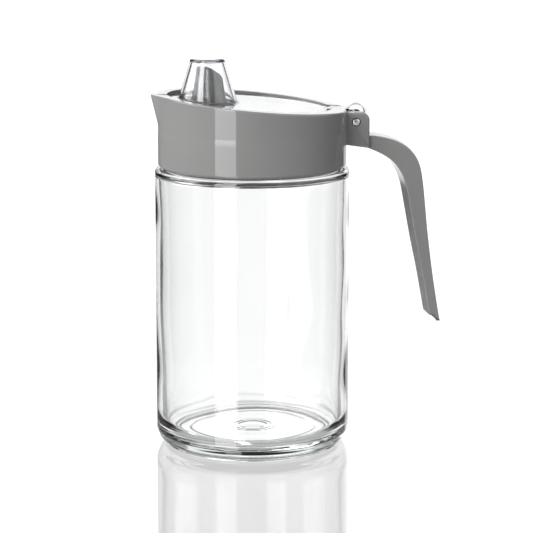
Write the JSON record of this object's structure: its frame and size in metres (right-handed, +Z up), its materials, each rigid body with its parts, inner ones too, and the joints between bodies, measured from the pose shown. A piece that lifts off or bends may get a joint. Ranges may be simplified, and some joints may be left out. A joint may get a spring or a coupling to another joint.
{
  "type": "oil dispenser",
  "caption": "Glass jar for cooking oil with a screw-on pouring lid, a lever handle and a clear flap that swings up on a pin.",
  "frame": {"origin": "on the jar's axis, on the surface the jar stands on", "axes": "+Z up along the jar, +X towards the handle, -X towards the pouring lip"},
  "size_m": [0.1276, 0.0848, 0.17],
  "materials": {
    "glass": "clear polished glass",
    "grey_plastic": "glossy moulded mid-grey plastic",
    "steel": "bright steel pin",
    "clear_plastic": "clear moulded plastic"
  },
  "bodies": {
    "jug": {"glass_jar": "glass", "lid": "grey_plastic", "hinge_pin": "steel"},
    "flap": {"flap": "clear_plastic"}
  },
  "joints": [
    {"name": "flap_hinge", "type": "hinge", "parent": "jug", "child": "flap", "pos_m": [0.0443, 0, 0.1422], "axis": [0, 1, 0], "range_deg": [0, 70]}
  ]
}
